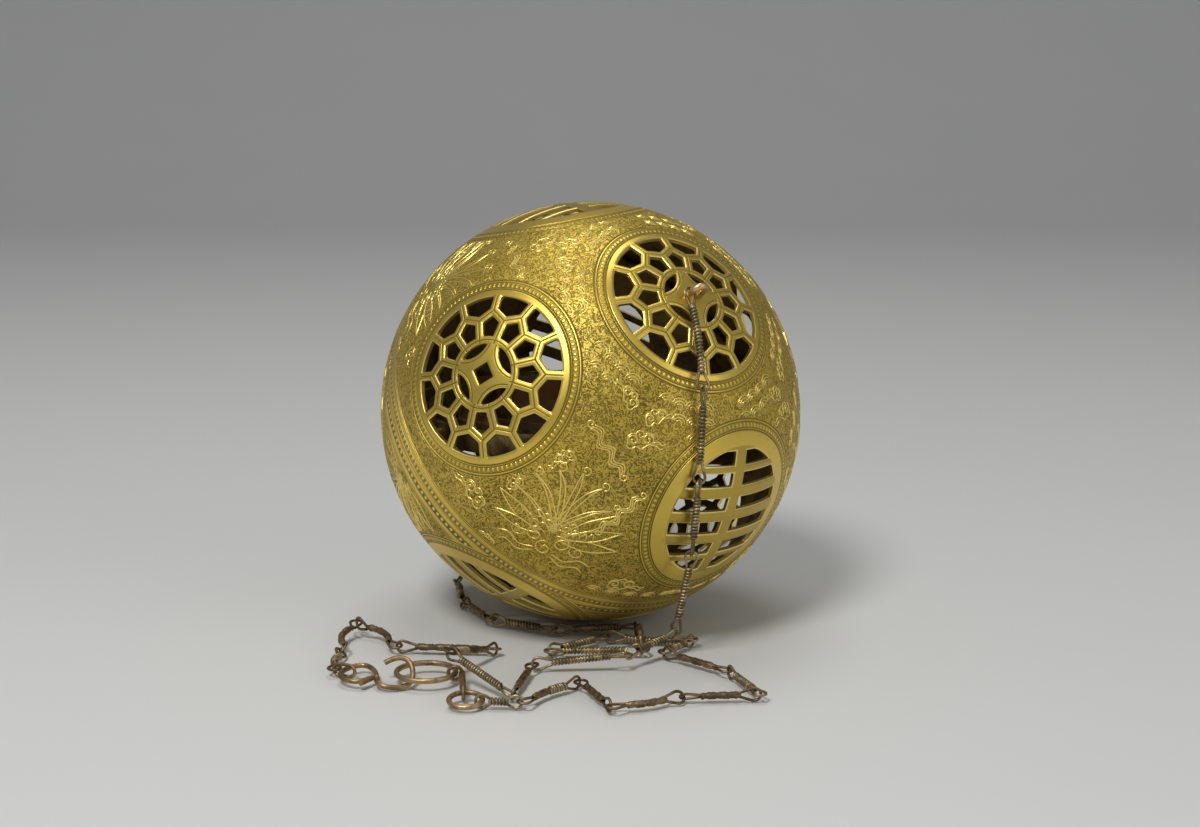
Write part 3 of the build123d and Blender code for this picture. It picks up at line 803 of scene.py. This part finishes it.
def sweep_line(points, n=20):
    """Smooth line through a few points."""
    p = np.asarray(points, float)
    t = np.linspace(0, len(p) - 1, n)
    out = []
    for u in t:
        i = min(int(u), len(p) - 2)
        w = u - i
        p0, p1, p2, p3 = p[max(i - 1, 0)], p[i], p[i + 1], p[min(i + 2, len(p) - 1)]
        out.append(0.5 * (2 * p1 + (p2 - p0) * w + (2 * p0 - 5 * p1 + 4 * p2 - p3) * w * w
                          + (3 * p1 - p0 - 3 * p2 + p3) * w**3))
    return np.array(out)


def cloud():
    """Scrolling cloud: three lobes with curls and a forked tail. About 12 mm wide."""
    lines = [
        spiral(-2.4, 0.6, 2.0, 3.6, -1.3),
        spiral(2.5, 0.7, 2.1, -0.4, 1.3),
        spiral(0.1, 2.4, 1.7, 3.3, -1.2),
        sweep_line([(-4.3, 0.1), (-4.6, -1.4), (-3.0, -2.3), (-1.3, -1.4), (0.2, -2.4), (2.0, -1.4),
                    (4.6, -0.2)]),
        sweep_line([(-1.5, 2.6), (-2.7, 2.9), (-4.2, 2.0), (-4.5, 0.7)]),
        sweep_line([(1.7, 2.7), (2.9, 3.0), (4.4, 2.1), (4.6, 0.9)]),
        sweep_line([(4.5, -0.4), (6.2, -0.1), (7.6, -1.3), (9.2, -0.7)]),
        sweep_line([(3.6, -1.1), (5.6, -1.5), (7.0, -2.6), (8.2, -2.3)]),
    ]
    return lines


def plume():
    """Sheaf of long curved feathers rising from a knot of curls. About 30 mm tall."""
    lines = []
    feathers = ((-12, 9, 5), (-9, 14, 4.5), (-4.5, 17.5, 3), (1, 19, 1), (6.5, 17, -2.5), (11, 12.5, -4.5))
    for dx, dy, bend in feathers:
        for off in (-0.55, 0.55):
            low = (dx * 0.35 + bend * 0.5 + off, dy * 0.4)
            high = (dx * 0.75 + bend * 0.45 + off, dy * 0.8)
            lines.append(sweep_line([(off * 0.6, 1.5), low, high, (dx, dy)], 26))
        lines.append(spiral(dx + 0.5, dy + 0.9, 1.3, -1.5, 1.1, 18))
    for x, y, bulge in ((15.5, 7.5, 1.5), (16, 2, 1.4), (13, 12, 1.2), (-15, 6, 1.5), (-14, 0.5, 1.3)):
        far = hypot(x, y)
        for side in (-bulge, bulge):
            belly = (x * 0.55 - y / far * side, y * 0.55 + x / far * side)
            lines.append(sweep_line([(x * 0.15, y * 0.15), belly, (x, y)], 20))
    for row in range(3):
        for k in range(-2, 3):
            a = np.linspace(0, pi, 9)
            lines.append(np.stack([k * 2.1 + row % 2 + 1.05 * np.cos(a), 2.2 + row * 1.3 + np.sin(a)], 1))
    lines += [spiral(-3.1, -0.6, 2.3, 0.6, 1.4), spiral(3.1, -0.6, 2.3, 2.5, -1.4),
              spiral(0, -3.4, 2.2, 1.6, 1.3)]
    for s in (-1, 1):
        lines.append(sweep_line([(2.0 * s, -4.2), (5.5 * s, -5.2), (8.5 * s, -3.6), (11.5 * s, -4.6)]))
        lines.append(sweep_line([(2.2 * s, -5.2), (5.2 * s, -7.0), (8.6 * s, -5.9), (10.5 * s, -7.2)]))
        lines.append(spiral(7.2 * s, -1.4, 1.9, 1.6 + s, 1.2 * s))
        for q in range(4):
            x = 3.2 + q * 1.5
            lines.append(sweep_line([(x * s, 2.1 + q * 0.5), ((x + 1.2) * s, 3.2 + q * 0.6),
                                     ((x + 1.7) * s, 1.8 + q * 0.4)], 9))
    return lines


def streamer():
    """Rippling ribbon with curls, about 22 mm long."""
    lines = []
    for off in (0, 1.1, 2.2):
        wave = ((-11, 0), (-7.5, 1.8), (-3.5, -1.4), (0.5, 1.6), (4.5, -1.2), (8, 1.2), (11, -0.4))
        lines.append(sweep_line([(x, y + off) for x, y in wave], 40))
    lines += [spiral(-12.2, 1.5, 1.9, 0.2, -1.2), spiral(12.3, 0.9, 1.8, 3.1, 1.2)]
    return lines


def ripple():
    """Three nested arcs, about 5 mm wide."""
    a = np.linspace(0.05 * pi, 0.95 * pi, 14)
    return [np.stack([rr * np.cos(a), rr * np.sin(a)], 1) for rr in (0.9, 1.75, 2.6)]


def ridge(soup, points, wide=0.42, tall=0.2):
    """Low rounded ridge on the ball along unit-sphere points."""
    p = np.asarray(points)
    tan = np.gradient(p, axis=0)
    tan /= np.linalg.norm(tan, axis=1, keepdims=True)
    side = np.cross(p, tan)
    n = len(p)
    taper = np.clip(np.minimum(np.arange(n), np.arange(n)[::-1]) / 2.0 + 0.25, 0, 1)[:, None]
    prof = [(-0.5, -0.06), (-0.28, 0.75), (0.28, 0.75), (0.5, -0.06)]
    v = np.stack([p * (R + h * tall * np.where(h > 0, taper, 1)) + side * (w * wide * taper)
                  for w, h in prof], 1)
    v = v.reshape(-1, 3)
    i = (np.arange(n - 1) * 4)[:, None] + np.arange(3)[None]
    soup.add(to_row(v), np.stack([i, i + 1, i + 5, i + 4], 2).reshape(-1, 4))


def clear(points, wins, low, high):
    """Whether points keep off the windows' borders and the seam bands."""
    ok = (points[:, 2] * R > low) & (points[:, 2] * R < high)
    for (axis, _, _), _ in wins:
        ok &= points @ axis < cos(asin((BORDER_R - 0.1) / R))
    return ok


# polar angle, degrees round from the middle of the field, turn, scale
ORNAMENT_CLOUDS = ((84, 23, 8, 0.85), (82, -24, -14, 0.95), (42.5, 6, 25, 0.85), (34.5, -7, -30, 0.7),
                   (35.5, 8, 40, 0.7), (56, -12, 60, 0.6), (70, -19, -60, 0.62), (90.5, -14, 2, 0.6))


def engrave(name, shift, flip, body):
    """Raised ornament on one shell: the same fields, turned a quarter and mirrored in turn."""
    wins = windows(shift, flip)
    sign = -1.0 if flip else 1.0
    soup = Soup()

    def place(lines, polar, azimuth, turn, scale, mirror=1):
        """Draw lines on the ball, at a polar angle and azimuth."""
        axis, north, west = window_axis(polar, azimuth, flip)
        c, s = cos(radians(turn)), sin(radians(turn))
        for line in lines:
            u, w = line[:, 0] * mirror * scale, line[:, 1] * scale
            a, b = u * c - w * s, u * s + w * c
            p = axis + (b[:, None] * north - a[:, None] * west) / R
            p /= np.linalg.norm(p, axis=1, keepdims=True)
            good = clear(p, wins, -1e9 if flip else SEAM + 6.6, SEAM - 7.6 if flip else 1e9)
            start = 0
            for k in range(len(p) + 1):
                if k == len(p) or not good[k]:
                    if k - start >= 4:
                        ridge(soup, p[start:k])
                    start = k + 1

    base = [137.6, 227.6, 317.6, 47.6]
    for q, az in enumerate(base):
        a = az + shift
        m = 1 if q % 2 == 0 else -1
        place(plume(), 77, a - 2 * m, 10 * m, 1.3, m)
        place(streamer(), 62, a + 12 * m, 68 * m, 0.7, m)
        place(streamer(), 49, a - 3 * m, -25 * m, 0.75, m)
        for polar, off, turn, scale in ORNAMENT_CLOUDS:
            place(cloud(), polar, a + off * m, turn * m, scale, m if off > 0 else -m)
        for row, polar in enumerate((30.8, 34.8, 38.8)):
            for k in range(4 - row):
                for side in (-1, 1):
                    place(ripple(), polar, a + side * (32.0 + row * 1.5 - 7.4 * k), -8 * side, 1.0)
        for k in range(7):
            place(ripple(), 88.5, a + (17 + 5.4 * k) * m, 0, 0.95)
    ob = soup.build(name + "_raised_lines", raised)
    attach(ob, body)


engrave("upper", 0, False, "upper_half")
engrave("lower", 36, True, "lower_half")


# ---------------------------------------------------------------- CAD pieces keep their shape
def dress(node, material):
    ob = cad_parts[node]
    ob.data.materials.clear()
    ob.data.materials.append(material)


for node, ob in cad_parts.items():
    if node.startswith(("upper_eye", "lower_eye")):
        dress(node, eye_brass)
    elif node == "fire_bowl":
        dress(node, bowl_brass)
    elif node == "lap_ring" or "gimbal" in node or node.endswith("pins"):
        dress(node, gimbal_brass)
    elif "link" not in node and "shell" not in node:
        dress(node, ring_brown)

# ---------------------------------------------------------------- floor and light
def stage_material(name, colour):
    m, t, bsdf = new_material(name)
    n = texture(t, "Noise", object_coords(t), 9, 3, 0.5)
    t.links.new(mix(t, n, colour, tuple(c * 0.97 for c in colour)), bsdf.inputs["Base Color"])
    bsdf.inputs["Roughness"].default_value = 0.6
    return m


rows = [(-2.0, 0.0), (1.2, 0.0)]
rows += [(1.2 + 0.9 * sin(a), 0.9 - 0.9 * cos(a)) for a in np.linspace(0.1, pi / 2, 12)]
rows += [(2.1, 3.0)]
fv = np.array([(sx * 3.0, y, z - 0.0003) for y, z in rows for sx in (-1, 1)]) / MM
ff = np.array([(2 * i, 2 * i + 1, 2 * i + 3, 2 * i + 2) for i in range(len(rows) - 1)])
floor = mesh_object("floor", fv, ff, stage_material("floor_paint", (0.62, 0.62, 0.60)))


def area(name, at, size, power, aim=(0, 0, 0.06), colour=(1, 1, 1)):
    light = bpy.data.lights.new(name, "AREA")
    light.shape, light.size, light.energy, light.color = "DISK", size, power, colour
    ob = bpy.data.objects.new(name, light)
    ob.location = at
    ob.rotation_euler = (Vector(aim) - Vector(at)).to_track_quat("-Z", "Y").to_euler()
    bpy.context.collection.objects.link(ob)


area("key", (-0.32, -0.72, 1.0), 0.34, 9.0)
area("fill", (0.9, -0.6, 0.5), 0.7, 1.6)
area("top", (0.0, 0.3, 1.2), 0.6, 3.0)
world = bpy.data.worlds.new("world")
world.use_nodes = True
world.node_tree.nodes["Background"].inputs[0].default_value = (0.75, 0.77, 0.8, 1)
world.node_tree.nodes["Background"].inputs[1].default_value = 0.35
bpy.context.scene.world = world
bpy.context.scene.view_settings.view_transform = "Standard"
